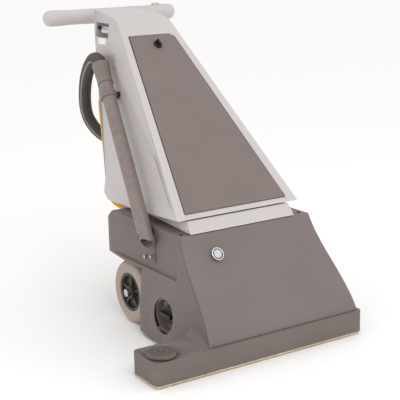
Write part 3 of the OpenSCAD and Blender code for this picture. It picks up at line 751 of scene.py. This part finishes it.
# %% Blow up the bag
bag = pick(link("dust-bag", frame["nodes"]["filter_bag"].data.copy()))
outward(bag)
middle = sum((v.co for v in bag.data.vertices), Vector()) / len(bag.data.vertices)
for point in bag.data.vertices:
    point.co = middle + (point.co - middle) * 0.95
even = bag.modifiers.new("even", "REMESH")
even.mode = "VOXEL"
even.voxel_size = 0.012
apply_all(bag)
rest = [v.co.copy() for v in bag.data.vertices]
cloth = bag.modifiers.new("cloth", "CLOTH")
cloth.settings.use_pressure = True
cloth.settings.uniform_pressure_force = 4
cloth.settings.effector_weights.gravity = 0
for step in range(1, 13):
    bpy.context.scene.frame_set(step)
apply_all(bag)
bpy.context.scene.frame_set(1)
for point, start in zip(bag.data.vertices, rest):
    moved = point.co - start
    point.co = start + moved * min(1, 0.014 / max(moved.length, 1e-6))
bag.modifiers.new("finer", "SUBSURF").levels = 1
bag.modifiers["finer"].render_levels = 1
apply_all(bag)
bpy.ops.object.shade_smooth()
dress(bag, "filter_bag")
print("bag", len(bag.data.polygons), "faces")

# %% [markdown]
# ## The brush
# The roller carries rows of stiff tufts. One tuft is modelled as a small bundle that spreads
# towards its tip, and it is copied along four rows that wind slowly round the core.

# %% Tufts
def one_mesh(name, pieces):
    """Joins copies of meshes, given with their placing matrices, in one new piece."""
    shape = bmesh.new()
    for mesh, matrix in pieces:
        start = len(shape.verts)
        shape.from_mesh(mesh)
        shape.verts.ensure_lookup_table()
        for point in shape.verts[start:]:
            point.co = matrix @ point.co
    mesh = bpy.data.meshes.new(name)
    shape.to_mesh(mesh)
    shape.free()
    return link(name, mesh)


BRUSH = at(0, 70, 41)
bpy.ops.mesh.primitive_cone_add(vertices=7, radius1=0.0021, radius2=0.0038, depth=0.0135,
                                location=(0, 0, 0.02625))
tuft = settle(bpy.context.active_object, "tuft")
tufts = []
for row_angle in range(45, 405, 90):
    for x in range(-354, 316, 11):
        wind = radians(row_angle + (x + 354) * 0.05 - 17)
        tufts.append((tuft.data, Matrix.Translation(BRUSH + Vector((x * MM, 0, 0)))
                      @ Matrix.Rotation(wind, 4, "X")))
brush = smooth(one_mesh("brush-tufts", tufts), 30)
bpy.data.objects.remove(tuft)
dress(brush, "brush_bristles")
print("brush", len(tufts), "tufts")

# %% [markdown]
# ## Turned pieces
# The bumper roller, its bolt, the badge, the latch's round base and the wand's collar are all
# turned shapes. Each is a short outline, drawn as a chain of points and spun round its axis.

# %% Spin an outline
def spun(name, outline, steps=64, round_by=0.0):
    """A closed turned piece about Z. The outline is (radius, height) in mm, from the axis out."""
    mesh = bpy.data.meshes.new(name)
    mesh.from_pydata([(r * MM, 0, z * MM) for r, z in outline],
                     [(i, i + 1) for i in range(len(outline) - 1)], [])
    piece = pick(link(name, mesh))
    bpy.ops.object.mode_set(mode="EDIT")
    bpy.ops.mesh.select_all(action="SELECT")
    bpy.ops.mesh.spin(steps=steps, angle=2 * pi, center=(0, 0, 0), axis=(0, 0, 1))
    bpy.ops.object.mode_set(mode="OBJECT")
    outward(piece)
    if round_by:
        bevel = piece.modifiers.new("edge", "BEVEL")
        bevel.width = round_by * MM
        bevel.segments = 3
        bevel.angle_limit = radians(30)
        apply_all(piece)
    return smooth(piece, 40)


def placed(piece, matrix):
    piece.matrix_world = matrix
    return settle(piece, piece.name)


# %% Bumper roller, bolt and the rim of its well
ROLLER = (-342, 48)
grooves = [(6.2, 0), (42, 0), (46, 4), (46, 10), (43, 13.5), (37, 14), (36, 12), (34, 12), (33, 14),
           (29, 14), (28, 11.5), (25, 11.5), (24, 14.4), (20, 15), (13, 15), (12, 12), (6.2, 12),
           (6.2, 0)]
roller = placed(spun("corner-roller", grooves, round_by=0.6), Matrix.Translation(at(*ROLLER, 82.5)))
dress(roller, "corner_roller")
head = [(0, 80), (6, 80), (6, 95), (9, 95), (9, 98), (7.5, 99), (4, 98.6), (0, 97.6)]
bolt = placed(spun("roller-bolt", head), Matrix.Translation(at(*ROLLER, 0)))
dress(bolt, "roller_bolt")
refinish(bolt, "bumper_roller")


def deck_height(run):
    """The deck rises by 9 mm over its first 64 mm and then runs level."""
    return 79 + 9 * min(1, (run - 12) / 64)


arc = [radians(5 * step) for step in range(-9, 28)]
rim_line = [at(ROLLER[0] + 51 * cos(turn), ROLLER[1] + 51 * sin(turn),
               deck_height(ROLLER[1] + 51 * sin(turn))) for turn in arc]
rim = tube("well-rim", rim_line, [2.2 * MM] * len(rim_line), 12)
trim(rim, "base_plastic")

# %% A plain ringed badge
ring_face = [(0, 0), (21, 0), (21, 1.4), (20, 2), (17.5, 2), (16.8, 1.3), (14, 1.3), (13.4, 1.9),
             (0, 1.9)]
badge = spun("cover-badge", ring_face)
BADGE = at(-60, 165, 312)
placed(badge, Matrix.Translation(BADGE) @ Matrix.Rotation(radians(58), 4, "X"))
dress(badge, "cover_badge")
badge.data.materials.append(finishes["hub_plastic"])
for face in badge.data.polygons:
    rise = (face.center - BADGE).dot(face.normal)
    if face.normal.z > 0.4 and rise < 1.6 * MM:
        face.material_index = 1

# %% The latch: a round base with a blade that stands up the slope
DOOR_FOOT, DOOR_HEAD = Vector((252, 437)), Vector((748, 936))
door_way = DOOR_HEAD - DOOR_FOOT
FRONT_LEAN = math.atan2(door_way.y, door_way.x)
DOOR_LEN = math.hypot(door_way.x, door_way.y)
on_front = Matrix.Translation(at(UPPER_X, *DOOR_FOOT)) @ Matrix.Rotation(FRONT_LEAN, 4, "X")
latch = spun("door-latch", [(0, -31), (6, -31), (6, 0.5), (16, 0.5), (16, 3), (14.5, 5), (11.5, 5.6),
                            (10.5, 4.6), (0, 4.6)])
bpy.ops.mesh.primitive_cube_add(size=1, location=(0, 0.5 * MM, 12 * MM))
blade = bpy.context.active_object
blade.scale = (0.0075, 0.030, 0.015)
settle(blade, "blade")
bpy.ops.object.mode_set(mode="EDIT")
shape = bmesh.from_edit_mesh(blade.data)
for point in shape.verts:
    point.select = point.co.z > 0.018
    if point.select:
        point.co.x *= 0.55
        point.co.y *= 0.72
bmesh.update_edit_mesh(blade.data)
bpy.ops.object.mode_set(mode="OBJECT")
blade.modifiers.new("edge", "BEVEL").width = 0.0018
blade.modifiers["edge"].segments = 4
apply_all(blade)
bpy.ops.mesh.primitive_cube_add(size=1, location=(-0.011, 0, -0.029))
tongue = bpy.context.active_object
tongue.scale = (0.034, 0.012, 0.004)
settle(tongue, "tongue")
one_piece(latch, blade, tongue)
placed(latch, on_front @ Matrix.Translation((8 * MM, (DOOR_LEN - 42) * MM, 0)))
dress(smooth(latch, 35), "door_latch")

# %% The wand's collar and its dark clip
foot, head_end = at(-202, 347.4, 325.2), at(-92, 806, 806)
wand_way = (head_end - foot).normalized()
on_wand = Matrix.Translation(foot) @ wand_way.to_track_quat("Z", "X").to_matrix().to_4x4()
collar_face = [(24.5, 0), (28, 0), (29, 1.5), (29, 6), (27.6, 7.5), (27.6, 14), (29, 15.5),
               (29, 20.5), (28, 22), (24.5, 22), (24.5, 0)]
collar = spun("wand-collar", collar_face)
placed(collar, on_wand @ Matrix.Translation((0, 0, 574 * MM)))
trim(collar, "wand_plastic", body_of("wand_clip"))
# The clip's own ring is squeezed to a thin skin, and the collar hides it.
RING_OUTSIDE, SKIN_RADIUS, SKIN_FROM, SKIN_TO = 29.6, 25.4, 576, 594
clip = round_edges(copied("wand_clip"), 1.5)
along = on_wand.inverted()
pick(clip)
bpy.ops.object.mode_set(mode="EDIT")
shape = bmesh.from_edit_mesh(clip.data)
for point in shape.verts:
    spot = along @ point.co
    out = math.hypot(spot.x, spot.y)
    if out < RING_OUTSIDE * MM:
        inward = SKIN_RADIUS * MM / max(out, 1e-6)
        spot.x, spot.y = spot.x * inward, spot.y * inward
        spot.z = min(max(spot.z, SKIN_FROM * MM), SKIN_TO * MM)
        point.co = on_wand @ spot
bmesh.update_edit_mesh(clip.data)
bpy.ops.object.mode_set(mode="OBJECT")
dress(clip, "wand_clip")

# %% The wand's bracket and its bright bolts
bracket = dress(round_edges(copied("wand_bracket"), 1.5), "wand_bracket")
refinish(bracket, "base_plastic")
bolt_face = [(0, 0), (5.8, 0), (5.8, 3), (4.8, 4), (2.6, 4), (2.2, 3), (0, 3)]
bolt_heads = [placed(spun("bracket-bolts", bolt_face, steps=6),
                     Matrix.Translation(at(-182, run, z)) @ Matrix.Rotation(-pi / 2, 4, "Y"))
              for run, z in ((366, 276), (404, 268))]
bolts = one_piece(*bolt_heads)
trim(bolts, "bright_steel")
print("turned pieces done")

# %% [markdown]
# ## Where the wall meets the deck
# The base grows out of the nozzle's deck in a hollow curve on its left side. The curve is a
# narrow strip: at each station its section runs from the deck up the wall in a quarter of a
# circle, and the circle shrinks towards the front, so that the strip fades out at the cover.

# %% The hollow blend
SECTION = 8
stations = [14, 18, 24, 32, 42, 54, 66, 76, 90, 104, 118, 127]
rows = []
for run in stations:
    reach = 5 + 21 * soft_step((run - 12) / 50)
    low = deck_height(run)
    hollow = [at(wall_x(low) + 4, run, low - 1.5)]
    for k in range(SECTION + 1):
        angle = pi / 2 * k / SECTION
        z = low + reach * (1 - sin(angle))
        hollow.append(at(wall_x(z) + 0.4 - reach * (1 - cos(angle)), run, z))
    hollow.append(at(wall_x(low) - reach, run, low - 1.5))
    rows.append(hollow)
width = len(rows[0])
strip = bpy.data.meshes.new("wall-blend")
faces = []
for near in range(0, (len(rows) - 1) * width, width):
    far = near + width
    for k in range(width):
        n = (k + 1) % width
        faces.append((near + k, far + k, far + n, near + n))
last_row = (len(rows) - 1) * width
faces += [tuple(range(width)), tuple(reversed(range(last_row, last_row + width)))]
strip.from_pydata([spot for row in rows for spot in row], [], faces)
blend_strip = smooth(outward(link("wall-blend", strip)), 50)
trim(blend_strip, "base_plastic")

# %% [markdown]
# ## Small trim
# A few small things tell a person how the machine is made: rivets along the sole and tick marks
# round the dial.

# %% Rivets along the sole
bpy.ops.mesh.primitive_uv_sphere_add(segments=12, ring_count=6, radius=0.0021)
rivet = settle(bpy.context.active_object, "rivet")
spots = [(rivet.data, Matrix.Translation(at(x, 1.2, 7.4))) for x in range(-370, 371, 37)]
rivets = smooth(one_mesh("sole-rivets", spots), 60)
bpy.data.objects.remove(rivet)
trim(rivets, "bright_steel")

# %% Tick marks round the dial
bpy.ops.mesh.primitive_cube_add(size=1)
tick = bpy.context.active_object
tick.scale = (0.0012, 0.0022, 0.009)
tick = settle(tick, "tick")
tick.modifiers.new("edge", "BEVEL").width = 0.0004
apply_all(tick)
DIAL = at(-164.4, 280, 103)
ticks = [(tick.data, Matrix.Translation(DIAL) @ Matrix.Rotation(radians(-100 + 25 * k), 4, "X")
          @ Matrix.Translation((0, 0, 0.042))) for k in range(9)]
marks = one_mesh("dial-ticks", ticks)
bpy.data.objects.remove(tick)
trim(marks, "label_white")
print(len(spots), "rivets,", len(ticks), "ticks")
